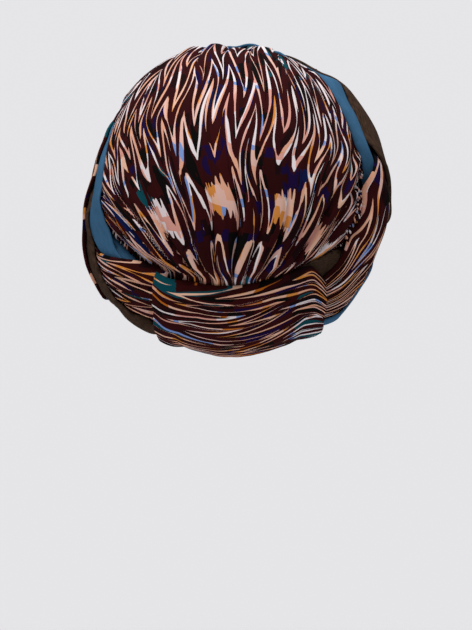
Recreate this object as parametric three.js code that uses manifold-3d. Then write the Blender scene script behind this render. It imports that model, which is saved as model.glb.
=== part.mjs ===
// A pre-tied turban headwrap: a gathered cap of printed cloth, a wide printed panel across the nape,
// and scarves of printed, blue and brown cloth that leave the panel's two seams and wrap round the head.
// Millimetres, +Z up. The wearer faces +Y, so -Y is the back of the head and +X the wearer's right.
// The origin is the middle of the head, level with the brow.
import * as THREE from "three";
import Module from "manifold-3d";

const wasm = await Module();
wasm.setup();

// Driving dimensions
const HEAD = { side: 81, fore: 99, back: 99, top: 98, under: 171 }; // half-axes that the rim closes on
const DOME = { side: 105, fore: 111, back: 127, top: 115, under: 113 }; // half-axes of the full cap
const RING_LEAN = 35; // degrees that the ring of scarves leans back from level
const RIM = { back: 109, side: 116.5, fore: 121.5 }; // degrees from the ring's pole to the rim
const CAP_WALL = 2.2; // gathered double cloth
const SCARF_WALL = 2.4; // pleated scarf, several plies
const LIFT = 0.7; // from one cloth to the next at the stations
const GAP = 0.35; // least gap that is kept anywhere between two cloths
const EASE = 0.8; // between the head and the rim
const DEEP = 0.6; // share of its radius to which a cloth keeps out the cloths above it

const rad = THREE.MathUtils.degToRad;
const deg = THREE.MathUtils.radToDeg;
const mix = THREE.MathUtils.lerp;
const clamp = THREE.MathUtils.clamp;
const smooth = THREE.MathUtils.smoothstep;

// The ring's own frame: its pole points up and back, the nape and the wearer's left lie on its equator
const POLE = new THREE.Vector3(0, -Math.sin(rad(RING_LEAN)), Math.cos(rad(RING_LEAN)));
const NAPE = new THREE.Vector3(0, -Math.cos(rad(RING_LEAN)), -Math.sin(rad(RING_LEAN)));
const LEFT = new THREE.Vector3(-1, 0, 0);

// A direction from the middle of the head: turn is degrees round the ring from the nape towards the
// left ear, and fall is degrees away from the ring's pole.
function direction(turn, fall) {
  const a = rad(turn);
  const f = rad(fall);
  return new THREE.Vector3()
    .addScaledVector(POLE, Math.cos(f))
    .addScaledVector(NAPE, Math.sin(f) * Math.cos(a))
    .addScaledVector(LEFT, Math.sin(f) * Math.sin(a));
}

function ringAngles(d) {
  return {
    turn: deg(Math.atan2(d.dot(LEFT), d.dot(NAPE))),
    fall: deg(Math.acos(clamp(d.dot(POLE), -1, 1))),
  };
}

// A value round the ring that passes through one figure each for the nape, the sides and the brow
function aroundRing(turn, { back, side, fore }) {
  const c = Math.cos(rad(turn));
  return side + ((back - fore) / 2) * c + ((back + fore) / 2 - side) * c * c;
}

// The wrap's outline from behind: its radius in the XZ plane, at degrees up from the wearer's right
const OUTLINE = [
  { angle: 0, radius: 117 },
  { angle: 20, radius: 119.5 },
  { angle: 40, radius: 120.5 },
  { angle: 50, radius: 122.5 },
  { angle: 60, radius: 118.5 },
  { angle: 75, radius: 120.5 },
  { angle: 105, radius: 121.5 },
  { angle: 120, radius: 122 },
  { angle: 130, radius: 118 },
  { angle: 142, radius: 112.5 },
  { angle: 160, radius: 111.5 },
  { angle: 178, radius: 114 },
  { angle: 192, radius: 120 },
  { angle: 208, radius: 122 },
  { angle: 225, radius: 120 },
  { angle: 245, radius: 124 },
  { angle: 270, radius: 130 },
  { angle: 292, radius: 124 },
  { angle: 305, radius: 115.5 },
  { angle: 320, radius: 113 },
  { angle: 340, radius: 111.5 },
  { angle: 360, radius: 117 },
];

function outlineLimit(d) {
  const angle = (deg(Math.atan2(d.z, d.x)) + 360) % 360;
  const k = OUTLINE.findIndex((row) => row.angle > angle);
  const [a, b] = [OUTLINE[k - 1], OUTLINE[k]];
  return mix(a.radius, b.radius, smooth(angle, a.angle, b.angle)) / Math.hypot(d.x, d.z);
}

// Distance from the middle of the head to an egg with the given half-axes
function eggRadius(d, egg) {
  const depth = d.y < 0 ? egg.back : egg.fore;
  const height = d.z > 0 ? egg.top : egg.under;
  return 1 / Math.hypot(d.x / egg.side, d.y / depth, d.z / height);
}

// The cap's cloth runs from a gather on top of the head, over the back, to a tuck at the nape.
// over is degrees from straight up towards the back; side is -1 to 1 across the gathered width.
const SWEEP = { gather: -14, tuck: 120, ends: 20, middle: 62, fullness: 0.7 };
function capCloth(d) {
  const over = deg(Math.atan2(-d.y, d.z));
  const along = clamp((over - SWEEP.gather) / (SWEEP.tuck - SWEEP.gather), 0, 1);
  const reach = mix(SWEEP.ends, SWEEP.middle, Math.sin(Math.PI * along) ** SWEEP.fullness);
  return { over, side: deg(Math.asin(clamp(d.x, -1, 1))) / reach };
}

// Each fold is a ridge at one place across the cloth, highest at peak and gone at from and to
const CAP_FOLDS = [
  { side: -0.93, width: 0.13, rise: 2.6, from: -30, peak: 2, to: 48 },
  { side: -0.62, width: 0.13, rise: 4.4, from: -30, peak: 0, to: 44 },
  { side: -0.22, width: 0.12, rise: 4.6, from: -30, peak: -2, to: 36 },
  { side: 0.26, width: 0.12, rise: 4.8, from: -30, peak: -2, to: 40 },
  { side: 0.6, width: 0.1, rise: 3.2, from: -30, peak: 4, to: 52 },
  { side: 0.92, width: 0.12, rise: 3.8, from: -30, peak: 8, to: 60 },
  { side: -0.97, width: 0.07, rise: 2.4, from: 40, peak: 88, to: 122 },
  { side: -0.74, width: 0.08, rise: 2.6, from: 66, peak: 104, to: 124 },
  { side: -0.48, width: 0.09, rise: 2.8, from: 76, peak: 108, to: 124 },
  { side: -0.2, width: 0.09, rise: 3.2, from: 74, peak: 108, to: 124 },
  { side: 0.08, width: 0.08, rise: 2.4, from: 84, peak: 109, to: 124 },
  { side: 0.34, width: 0.09, rise: 3.2, from: 72, peak: 107, to: 124 },
  { side: 0.58, width: 0.07, rise: 2.8, from: 60, peak: 104, to: 124 },
  { side: 0.76, width: 0.07, rise: 3.4, from: 34, peak: 84, to: 122 },
  { side: 0.95, width: 0.07, rise: 3.4, from: 30, peak: 74, to: 120 },
];

function foldRise({ over, side }) {
  return CAP_FOLDS.reduce((sum, fold) => {
    const along = smooth(over, fold.from, fold.peak) * (1 - smooth(over, fold.peak, fold.to));
    const across = Math.exp(-(((side - fold.side) / fold.width) ** 2));
    return sum + fold.rise * along * across;
  }, 0);
}

// The cap's outside: full over the back, drawn in under the scarves and the nape panel to the rim
const DRAW_IN = { back: 80, side: 76, fore: 66 }; // where the cloth leaves the full dome
const CAP_INSET = 6; // how far inside the outline the cap stays at the sides, where scarves cover it
const DRAW_POWER = { back: 3.2, side: 1.3, fore: 1.3 };
function capRadius(d) {
  const { turn, fall } = ringAngles(d);
  const start = aroundRing(turn, DRAW_IN);
  const share = clamp((fall - start) / (aroundRing(turn, RIM) - start), 0, 1);
  const drawn = 1 - (1 - share) ** aroundRing(turn, DRAW_POWER);
  const folded = eggRadius(d, DOME) + foldRise(capCloth(d)) * (1 - drawn);
  const full = Math.min(folded, outlineLimit(d) - CAP_INSET * Math.abs(d.x));
  return mix(full, eggRadius(d, HEAD) + CAP_WALL + EASE, drawn);
}

// A closed solid from an outer and an inner grid of points, rows x columns, joined at their edges
function shell(outer, inner, closedRound) {
  const rows = outer.length;
  const columns = outer[0].length;
  const points = [...outer.flat(), ...inner.flat()];
  const at = (layer, i, j) => layer * rows * columns + (i % rows) * columns + j;
  const index = [];
  const quad = (a, b, c, d) => index.push(a, b, c, a, c, d);
  const steps = closedRound ? rows : rows - 1;
  for (let i = 0; i < steps; i++) {
    for (let j = 0; j < columns - 1; j++) {
      quad(at(0, i, j), at(0, i + 1, j), at(0, i + 1, j + 1), at(0, i, j + 1));
      quad(at(1, i, j), at(1, i, j + 1), at(1, i + 1, j + 1), at(1, i + 1, j));
    }
    quad(at(0, i, columns - 1), at(0, i + 1, columns - 1), at(1, i + 1, columns - 1), at(1, i, columns - 1));
    if (!closedRound) quad(at(0, i, 0), at(1, i, 0), at(1, i + 1, 0), at(0, i + 1, 0));
  }
  if (!closedRound) {
    for (let j = 0; j < columns - 1; j++) {
      quad(at(0, 0, j), at(0, 0, j + 1), at(1, 0, j + 1), at(1, 0, j));
      quad(at(0, rows - 1, j), at(1, rows - 1, j), at(1, rows - 1, j + 1), at(0, rows - 1, j + 1));
    }
  }
  return { points, index };
}

// Stations may run either way round the ring, so the faces are turned to look outwards
function facingOut(solid) {
  const { points, index } = solid;
  let volume = 0;
  for (let i = 0; i < index.length; i += 3)
    volume += points[index[i]].dot(new THREE.Vector3().crossVectors(points[index[i + 1]], points[index[i + 2]]));
  if (volume < 0)
    for (let i = 0; i < index.length; i += 3) [index[i], index[i + 1]] = [index[i + 1], index[i]];
  return solid;
}

function manifoldOf({ points, index }) {
  const mesh = new wasm.Mesh({
    numProp: 3,
    vertProperties: Float32Array.from(points.flatMap((p) => p.toArray())),
    triVerts: Uint32Array.from(index),
  });
  return new wasm.Manifold(mesh);
}

function geometryOf(manifold) {
  const mesh = manifold.getMesh();
  const geometry = new THREE.BufferGeometry();
  geometry.setAttribute("position", new THREE.BufferAttribute(mesh.vertProperties, 3));
  geometry.setIndex(new THREE.BufferAttribute(mesh.triVerts, 1));
  geometry.computeVertexNormals();
  return geometry;
}

// All that a cloth keeps clear of the cloths above it: its outside, a gap larger all round, down to
// well inside the head's hollow.
function keepOut(outer, closedRound) {
  const last = outer.length - 1;
  const grown = outer.map((row) => row.map((p) => p.clone().setLength(p.length() + GAP)));
  const spread = (i, j, k, l) => {
    const away = outer[i][j].clone().sub(outer[k][l]).setLength(GAP);
    grown[i][j].add(away);
  };
  outer.forEach((row, i) => {
    const end = row.length - 1;
    spread(i, end, i, end - 1);
    if (closedRound) return;
    spread(i, 0, i, 1);
    if (i === 0) row.forEach((_, j) => spread(0, j, 1, j));
    if (i === last) row.forEach((_, j) => spread(last, j, last - 1, j));
  });
  const deep = grown.map((row) => row.map((p) => p.clone().multiplyScalar(DEEP)));
  return { grown, deep };
}

// The cloths that are already laid, as faces. A cloth is felt at a direction and a little way round
// it, so that the next one clears its ridges too.
const laid = [];
const FEEL = 0.02;
const feelers = [[0, 0, 0], [1, 0, 0], [-1, 0, 0], [0, 1, 0], [0, -1, 0], [0, 0, 1], [0, 0, -1]].map(
  (offset) => new THREE.Vector3(...offset).multiplyScalar(FEEL),
);

function laidRadius(direct, under) {
  const hit = new THREE.Vector3();
  const rays = feelers.map((offset) => new THREE.Ray(new THREE.Vector3(), direct.clone().add(offset).normalize()));
  let radius = 0;
  for (const cloth of laid) {
    if (cloth.name === "crown" || !under.includes(cloth.name)) continue;
    for (const { corners, middle, spread } of cloth.faces) {
      if (middle.dot(direct) < spread) continue;
      for (const ray of rays)
        if (ray.intersectTriangle(...corners, false, hit)) radius = Math.max(radius, hit.length());
    }
  }
  return radius;
}

function lay(name, { points, index }) {
  const faces = [];
  for (let i = 0; i < index.length; i += 3) {
    const corners = [points[index[i]], points[index[i + 1]], points[index[i + 2]]];
    const middle = corners[0].clone().add(corners[1]).add(corners[2]).normalize();
    const reach = Math.max(...corners.map((p) => middle.angleTo(p)));
    faces.push({ corners, middle, spread: Math.cos(reach + 2 * FEEL) });
  }
  laid.push({ name, faces });
}

// The cap, as a grid round the ring's pole; columns crowd where the gathers are
const CAP_GRID = { round: 64, falls: 17, crowding: 0.3, hem: 1.5 };
function capGrid() {
  const outer = [];
  for (let i = 0; i < CAP_GRID.round; i++) {
    const even = (i / CAP_GRID.round) * 2 * Math.PI;
    const turn = deg(even - CAP_GRID.crowding * Math.sin(2 * even));
    const rim = aroundRing(turn, RIM) - CAP_GRID.hem;
    outer.push([]);
    for (let j = 1; j <= CAP_GRID.falls; j++) {
      const d = direction(turn, (rim * j) / CAP_GRID.falls);
      outer[i].push(d.clone().multiplyScalar(capRadius(d)));
    }
  }
  return outer;
}

// A shell round the whole ring, closed over the pole on its outside and its inside
function bowl(outer, inner, top, under) {
  const made = shell(outer, inner, true);
  const round = outer.length;
  const falls = outer[0].length;
  [top, under].forEach((radius, layer) => {
    const pole = made.points.push(POLE.clone().multiplyScalar(radius)) - 1;
    for (let i = 0; i < round; i++) {
      const a = (layer * round + i) * falls;
      const b = (layer * round + ((i + 1) % round)) * falls;
      made.index.push(...(layer ? [pole, a, b] : [pole, b, a]));
    }
  });
  return facingOut(made);
}

// Scarves: each row is a station along the cloth, with its crown-side edge (turn, fall), its rim-side
// edge (turn, fall) and the radius of its crest. Stations run from the left seam round the brow.
const rowsOf = (...rows) =>
  rows.map(([crownTurn, crownFall, rimTurn, rimFall, crest]) => ({
    crownTurn, crownFall, rimTurn, rimFall, crest,
  }));

const SCARVES = {
  blue_fold_left: {
    colour: "blue", steps: 10, pleats: 1, pleatDepth: 0, under: ["crown"],
    rows: rowsOf(
      [36, 93, 38, 98, 106],
      [46, 90, 50, 96.5, 109],
      [55, 87, 61, 93.5, 111],
      [61, 83.5, 68.5, 89, 111],
      [65, 78, 73, 83.5, 110],
    ),
  },
  brown_underlay_right: {
    colour: "brown", steps: 8, pleats: 1, pleatDepth: 0, under: ["crown"],
    rows: rowsOf(
      [-24, 83.5, -24, 96, 108],
      [-34, 81.5, -33, 97, 111],
      [-43, 81, -42, 96, 112],
      [-52, 80.5, -51, 93, 111],
    ),
  },
  blue_wrap: {
    colour: "blue", steps: 38, pleats: 2, pleatDepth: 0.8, under: ["crown", "blue_fold_left"],
    rows: rowsOf(
      [35, 90, 37, 97, 109],
      [43, 87.5, 46, 94.5, 112],
      [50, 84.5, 55, 91, 114],
      [56, 80.5, 63, 86.5, 115],
      [60, 76, 68, 81.5, 115],
      [64, 69.5, 73, 73.5, 114],
      [71, 62.5, 80, 66.5, 113],
      [80, 57, 88, 61.5, 113],
      [97, 50.5, 101, 57, 115],
      [120, 48, 121, 56, 119],
      [150, 49, 150, 58, 123],
      [180, 51, 180, 61, 125],
      [210, 46, 210, 56, 124],
      [230, 41, 229, 50, 122],
      [246, 40, 243, 49, 120],
      [259, 41.5, 253, 50, 119],
      [270, 45.5, 263, 52.5, 118],
      [278, 51, 272, 56, 117],
      [283, 57.5, 278, 60.5, 116],
      [288, 63, 284, 65.5, 115],
      [293, 68, 289, 70.5, 113],
      [298, 71.5, 294, 74.5, 112],
    ),
  },
  print_fan_left: {
    colour: "print", steps: 10, pleats: 4, pleatDepth: 2.2,
    under: ["crown", "blue_fold_left", "blue_wrap"],
    rows: rowsOf(
      [26, 87, 25, 110, 118],
      [36, 87, 35, 114, 119],
      [45, 88.5, 45, 116, 119],
      [54, 91, 55, 115, 118.5],
      [62, 92.5, 64, 111, 117],
      [70, 92, 73, 105, 113],
    ),
  },
  print_wrap_right: {
    colour: "print", steps: 30, pleats: 4, pleatDepth: 2.2,
    under: ["crown", "blue_wrap", "brown_underlay_right"],
    rows: rowsOf(
      [130, 84, 130, 121, 114],
      [155, 76, 155, 122, 117],
      [180, 71, 180, 122.5, 119],
      [210, 67, 210, 122, 119],
      [235, 64, 235, 120.5, 118],
      [255, 63, 255, 118.5, 118],
      [270, 63, 270, 117.5, 118],
      [282, 63.5, 280, 117, 118],
      [291, 67, 290, 116.5, 118.5],
      [297, 72, 299, 116, 119],
      [304, 76, 307, 115.5, 120],
      [312, 80.5, 315, 115, 121],
      [320, 86, 322, 113, 121],
      [328, 88.5, 329, 111, 120],
      [335, 88, 335, 109.5, 118],
    ),
  },
  blue_edge_right: {
    colour: "blue", steps: 18, pleats: 1, pleatDepth: 0, under: ["crown", "print_wrap_right"],
    rows: rowsOf(
      [248, 106, 247, 113, 115],
      [262, 104, 262, 111, 118],
      [278, 102.5, 278, 109.5, 120.5],
      [294, 103, 295, 110, 122],
      [308, 105.5, 310, 112, 123],
      [320, 108.5, 322, 113.5, 123],
      [333, 109, 333, 112.5, 121],
    ),
  },
  brown_wrap_left: {
    colour: "brown", steps: 14, pleats: 2, pleatDepth: 0.8, under: ["crown", "print_fan_left", "blue_fold_left"],
    rows: rowsOf(
      [26, 109, 26, 114, 121],
      [34, 112.5, 36, 120, 122],
      [43, 111, 46, 119.5, 122],
      [50, 106, 56, 117, 121],
      [56, 99.5, 63, 107.5, 120],
      [61, 93.5, 69, 99, 118],
      [66, 87.5, 74.5, 91, 115],
      [72, 82, 80, 84.5, 112],
      [79, 76, 87, 78, 110],
    ),
  },
  brown_wrap_right: {
    colour: "brown", steps: 22, pleats: 2, pleatDepth: 1,
    under: ["crown", "blue_wrap", "print_wrap_right", "blue_edge_right"],
    rows: rowsOf(
      [150, 64, 150, 82, 118],
      [170, 66, 170, 85, 122],
      [192, 62, 192, 82, 123.5],
      [212, 57.5, 210, 76, 124],
      [230, 52, 226, 72, 124],
      [244, 51, 238, 75, 123.5],
      [256, 52.5, 246, 81, 123],
      [266, 55.5, 251, 89, 122],
      [273, 62, 253, 97, 121],
      [274, 71, 253, 104, 120],
      [272, 80, 251, 110, 119],
      [269, 89, 249, 115, 117],
    ),
  },
  print_wrap_left: {
    colour: "print", steps: 20, pleats: 4, pleatDepth: 2.4,
    under: ["crown", "blue_wrap", "print_fan_left", "print_wrap_right", "brown_wrap_left", "brown_wrap_right"],
    rows: rowsOf(
      [60, 112, 58, 118, 118],
      [64, 102, 67, 118.5, 118.5],
      [69, 95, 77, 119, 118.5],
      [74, 87, 86, 119.5, 118],
      [79, 77, 95, 120, 117.5],
      [86, 67.5, 104, 120.5, 117.5],
      [98, 62, 115, 121.5, 118.5],
      [118, 60.5, 132, 122, 120],
      [142, 61.5, 152, 122.5, 122],
      [164, 63.5, 172, 122, 123.5],
      [184, 64, 194, 117, 124.5],
      [202, 61, 211, 104, 125],
      [216, 57, 223, 90, 125.5],
    ),
  },
};

// Catmull-Rom through the stations' edge directions, resampled evenly along the middle of the cloth
function stations(rows, steps) {
  const curves = [["crownTurn", "crownFall"], ["rimTurn", "rimFall"]].map(
    ([turn, fall]) => new THREE.CatmullRomCurve3(rows.map((row) => direction(row[turn], row[fall]))),
  );
  const middle = new THREE.CatmullRomCurve3(
    rows.map((row, i) => curves[0].points[i].clone().add(curves[1].points[i]).normalize()),
  );
  const made = [];
  for (let i = 0; i <= steps; i++) {
    const s = middle.getUtoTmapping(i / steps);
    const place = s * (rows.length - 1);
    const k = Math.min(Math.floor(place), rows.length - 2);
    made.push({
      crownEdge: curves[0].getPoint(s).normalize(),
      rimEdge: curves[1].getPoint(s).normalize(),
      crest: mix(rows[k].crest, rows[k + 1].crest, smooth(place - k, 0, 1)),
    });
  }
  return made;
}

// Where a pleat's cloth lies between its valley (0) and its lip (1), at places across it
const PLEAT_PROFILE = [
  { across: 0, rise: 0 },
  { across: 0.7, rise: 1 },
];
function pleatLines(pleats) {
  const lines = [];
  for (let k = 0; k < pleats; k++)
    for (const { across, rise } of PLEAT_PROFILE) lines.push({ across: (k + across) / pleats, rise });
  lines.push({ across: 1, rise: 0 });
  return lines;
}

const ARCH = { square: 2.6, full: 1.7 }; // how square and how full a scarf is between its edges
const arch = (t) => (1 - Math.abs(2 * t - 1) ** ARCH.square) ** (1 / ARCH.full);

// One scarf: an arched, pleated wall whose two edges rest on the cloths below it
function scarfGrids({ rows, steps, pleats, pleatDepth, under }) {
  const lines = pleatLines(pleats);
  const outer = [];
  const inner = [];
  for (const { crownEdge, rimEdge, crest } of stations(rows, steps)) {
    const across = lines.map((line) => crownEdge.clone().lerp(rimEdge, line.across).normalize());
    const floor = across.map((d) => Math.max(capRadius(d), laidRadius(d, under)) + LIFT);
    const edges = [floor[0], floor[lines.length - 1]];
    const top = lines.map((line, j) => {
      const level = mix(edges[0], edges[1], line.across) + SCARF_WALL;
      const limit = outlineLimit(across[j]) - pleatDepth / 2;
      const lifted = mix(level, Math.max(Math.min(crest, limit), level), arch(line.across));
      const pleat = pleatDepth * (line.rise - 0.5) * arch(line.across);
      return Math.max(lifted + pleat, floor[j] + SCARF_WALL);
    });
    outer.push(across.map((d, j) => d.clone().multiplyScalar(top[j])));
    inner.push(across.map((d, j) => d.clone().multiplyScalar(Math.max(top[j] - SCARF_WALL, floor[j]))));
  }
  return { outer, inner };
}

// The nape panel lies over the ends of the scarves and over the cap's tuck
const PANEL = {
  colour: "print", steps: 14, pleats: 3, pleatDepth: 0.8,
  under: ["crown", ...Object.keys(SCARVES)],
  rows: rowsOf(
    [31.5, 87, 31.5, 115.5, 122.5],
    [24, 88, 24, 113.8, 123],
    [12, 88.2, 12, 111.6, 123],
    [0, 87.2, 0, 110.2, 123],
    [-10, 86, -10, 109.6, 122.5],
    [-20, 84, -20, 109.8, 122],
    [-28, 82, -28, 109.5, 121.5],
    [-34, 83, -34, 108, 121],
  ),
};

const CLOTHS = {
  print: new THREE.MeshStandardMaterial({ color: 0x4a2428, roughness: 0.85, metalness: 0 }),
  blue: new THREE.MeshStandardMaterial({ color: 0x2f5f80, roughness: 0.8, metalness: 0 }),
  brown: new THREE.MeshStandardMaterial({ color: 0x3a2c24, roughness: 0.9, metalness: 0 }),
};

const turban = new THREE.Group();
const kept = [];
function add(name, colour, solid, clear) {
  const below = kept.length ? wasm.Manifold.union(kept.map((cloth) => cloth.clear)) : null;
  const whole = manifoldOf(solid);
  const parts = (below ? whole.subtract(below) : whole).decompose();
  const body = parts.reduce((a, b) => (a.volume() > b.volume() ? a : b));
  const mesh = new THREE.Mesh(geometryOf(body), CLOTHS[colour].clone());
  mesh.name = name;
  turban.add(mesh);
  lay(name, solid);
  kept.push({ name, clear: manifoldOf(clear) });
}

const cap = capGrid();
const capInside = cap.map((row) => row.map((p) => p.clone().setLength(p.length() - CAP_WALL)));
const capClear = keepOut(cap, true);
const capTop = capRadius(POLE);
add(
  "crown",
  "print",
  bowl(cap, capInside, capTop, capTop - CAP_WALL),
  bowl(capClear.grown, capClear.deep, capTop + GAP, capTop * DEEP),
);
for (const [name, scarf] of Object.entries({ ...SCARVES, nape_panel: PANEL })) {
  const { outer, inner } = scarfGrids(scarf);
  const { grown, deep } = keepOut(outer, false);
  add(name, scarf.colour, facingOut(shell(outer, inner, false)), facingOut(shell(grown, deep, false)));
}

export default turban;
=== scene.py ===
# %% [markdown]
# This scene builds a pre-tied turban as it looks on a head, seen from behind. It is a gathered cap of printed
# cloth, a wide printed panel across the nape, and scarves of printed, blue and brown jersey that leave the
# panel's two seams and wrap round the head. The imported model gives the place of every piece, and this file
# gives each one its folds and its cloth. Lengths in the tables are millimetres, and Blender's are metres.

import math

import bmesh
import bpy
import numpy as np
from mathutils import Matrix, Vector
from mathutils.bvhtree import BVHTree


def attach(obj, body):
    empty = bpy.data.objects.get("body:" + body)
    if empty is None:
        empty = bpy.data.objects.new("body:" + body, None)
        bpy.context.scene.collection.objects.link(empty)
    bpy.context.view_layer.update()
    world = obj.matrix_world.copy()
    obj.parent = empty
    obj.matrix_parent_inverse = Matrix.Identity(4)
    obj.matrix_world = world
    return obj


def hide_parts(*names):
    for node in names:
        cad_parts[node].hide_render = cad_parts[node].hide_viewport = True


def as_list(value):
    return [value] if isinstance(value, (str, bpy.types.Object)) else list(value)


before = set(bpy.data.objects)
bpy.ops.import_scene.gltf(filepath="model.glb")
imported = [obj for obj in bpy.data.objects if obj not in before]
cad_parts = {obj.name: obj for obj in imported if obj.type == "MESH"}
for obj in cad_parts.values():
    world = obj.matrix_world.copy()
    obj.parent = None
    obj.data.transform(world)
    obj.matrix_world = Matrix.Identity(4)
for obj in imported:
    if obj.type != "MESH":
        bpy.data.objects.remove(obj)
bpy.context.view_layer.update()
MM = 0.001
print("nodes:", sorted(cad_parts))

# %% [markdown]
# The picture was taken from about two metres behind the wrap and a little below its middle, with a long lens.
# A camera that stands there with the same view needs no shift. The light is soft and comes from all round, a
# little more from the upper left, which large area lights and a pale world give.

# %% camera and lights
PICTURE_HEIGHT = 630  # picture points
WRAP_LEVEL = 204  # picture points from the top edge down to the middle of the wrap
POINT_SIZE = 0.75  # mm of the wrap that one picture point covers
CAMERA_DISTANCE = 2.0
SENSOR = 36.0
LAMPS = {
    # name: place in metres, watts, colour
    "key": ((-0.9, -1.3, 1.9), 26, (1.0, 0.99, 0.98)),
    "top": ((0.3, -0.1, 1.9), 14, (1.0, 1.0, 1.0)),
}
LAMP_SIZE = 0.7

camera = bpy.data.objects.new("camera", bpy.data.cameras.new("camera"))
bpy.context.collection.objects.link(camera)
camera.data.sensor_width = SENSOR
camera.data.lens = SENSOR * CAMERA_DISTANCE / (PICTURE_HEIGHT * POINT_SIZE * MM)
camera.location = (0, -CAMERA_DISTANCE, (WRAP_LEVEL - PICTURE_HEIGHT / 2) * POINT_SIZE * MM)
camera.rotation_euler = (math.pi / 2, 0, 0)
bpy.context.scene.camera = camera
bpy.context.scene.view_settings.view_transform = "Standard"

for name, (place, watts, colour) in LAMPS.items():
    light = bpy.data.lights.new(name, "AREA")
    light.size = LAMP_SIZE
    light.energy = watts
    light.color = colour
    lamp = bpy.data.objects.new(name, light)
    bpy.context.collection.objects.link(lamp)
    lamp.location = place
    lamp.rotation_euler = (-Vector(place)).to_track_quat("-Z", "Y").to_euler()
print("lens", round(camera.data.lens, 1), "mm and", len(LAMPS), "lamps")

# %% [markdown]
# The room is a world of two gradients. The camera sees a pale one, as the wall of a studio. The cloth is lit
# by a dimmer one that is bright only above, so that folds and undersides fall into shade as they do in the
# picture. The floor is a pale disc that fades out at its edge, which leaves no line against the room.

# %% room and floor
SEEN_ROOM = {0.0: (0.775, 0.765, 0.785, 1), 1.0: (0.8, 0.8, 0.82, 1)}
LIGHT_OF_ROOM = {
    0.0: (0.1, 0.1, 0.1, 1),
    0.45: (0.3, 0.3, 0.31, 1),
    0.62: (0.5, 0.5, 0.51, 1),
    1.0: (0.7, 0.7, 0.72, 1),
}
FLOOR = {"height": -0.42, "radius": 1.1, "solid": 0.5}

world = bpy.data.worlds.new("pale studio")
world.use_nodes = True
nodes, links = world.node_tree.nodes, world.node_tree.links
look_up = nodes.new("ShaderNodeSeparateXYZ")
links.new(nodes.new("ShaderNodeTexCoord").outputs["Generated"], look_up.inputs[0])
share_up = nodes.new("ShaderNodeMapRange")
share_up.inputs["From Min"].default_value = -1
links.new(look_up.outputs[2], share_up.inputs["Value"])
room = nodes.new("ShaderNodeMix")
room.data_type = "RGBA"
links.new(nodes.new("ShaderNodeLightPath").outputs["Is Camera Ray"], room.inputs[0])
for gradient, socket in ((LIGHT_OF_ROOM, 6), (SEEN_ROOM, 7)):  # a colour Mix has its A and B at 6 and 7
    ramp = nodes.new("ShaderNodeValToRGB")
    links.new(share_up.outputs[0], ramp.inputs[0])
    while len(ramp.color_ramp.elements) < len(gradient):
        ramp.color_ramp.elements.new(0.5)
    for element, (place, colour) in zip(ramp.color_ramp.elements, gradient.items()):
        element.position, element.color = place, colour
    links.new(ramp.outputs[0], room.inputs[socket])
links.new(room.outputs[2], nodes["Background"].inputs["Color"])
bpy.context.scene.world = world

bpy.ops.mesh.primitive_circle_add(vertices=96, radius=FLOOR["radius"], fill_type="NGON")
floor = bpy.context.object
floor.name = "floor"
floor.data.transform(Matrix.Translation((0, 0, FLOOR["height"])))
paint = bpy.data.materials.new("pale floor")
paint.use_nodes = True
nodes, links = paint.node_tree.nodes, paint.node_tree.links
nodes["Principled BSDF"].inputs["Base Color"].default_value = (0.8, 0.79, 0.81, 1)
nodes["Principled BSDF"].inputs["Roughness"].default_value = 0.9
far = nodes.new("ShaderNodeVectorMath")
far.operation = "LENGTH"
links.new(nodes.new("ShaderNodeTexCoord").outputs["Object"], far.inputs[0])
fade = nodes.new("ShaderNodeMapRange")
fade.interpolation_type = "SMOOTHSTEP"
for socket, edge in (("From Min", FLOOR["radius"]), ("From Max", FLOOR["solid"])):
    fade.inputs[socket].default_value = edge
links.new(far.outputs["Value"], fade.inputs["Value"])
links.new(fade.outputs[0], nodes["Principled BSDF"].inputs["Alpha"])
floor.data.materials.append(paint)
print("floor at", FLOOR["height"], "m")

# %% [markdown]
# Everything on the wrap is placed by a direction from the middle of its hollow. The ring of scarves leans
# back, so directions are counted round a leaning pole: turn goes round the ring from the nape by the left
# side, and fall goes down from the pole towards the rim. One function turns such angles into a direction, for
# single values and for whole grids at once.

# %% directions round the leaning ring
RING_LEAN = math.radians(35)
POLE = np.array([0, -math.sin(RING_LEAN), math.cos(RING_LEAN)])
NAPE = np.array([0, -math.cos(RING_LEAN), -math.sin(RING_LEAN)])
LEFT = np.array([-1.0, 0, 0])


def direction(turn, fall):
    """Unit vectors for angles in degrees; the arrays may have any shape."""
    turn, fall = np.broadcast_arrays(np.radians(turn), np.radians(fall))
    turn, fall = turn[..., None], fall[..., None]
    return np.cos(fall) * POLE + np.sin(fall) * (np.cos(turn) * NAPE + np.sin(turn) * LEFT)


def ring_angles(d):
    """The turn and the fall, in degrees, of unit vectors."""
    turn = np.degrees(np.arctan2(d @ LEFT, d @ NAPE))
    fall = np.degrees(np.arccos(np.clip(d @ POLE, -1, 1)))
    return turn, fall


def smooth(x, low, high):
    """0 below low, 1 above high, and an easy slope between them."""
    t = np.clip((x - low) / (high - low), 0, 1)
    return t * t * (3 - 2 * t)


def mix(a, b, t):
    return a + (b - a) * t


def unit(v):
    return v / np.linalg.norm(v, axis=-1, keepdims=True)


print("the ring's pole points to", POLE.round(3))

# %% [markdown]
# The cap's form has two eggs: the full dome that the gathers give it, and the smaller one that the rim closes
# on. An egg has its own length to each side, so a few plain numbers hold the whole form, where a sculpted
# mesh would have to be measured again after each change.

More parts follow.
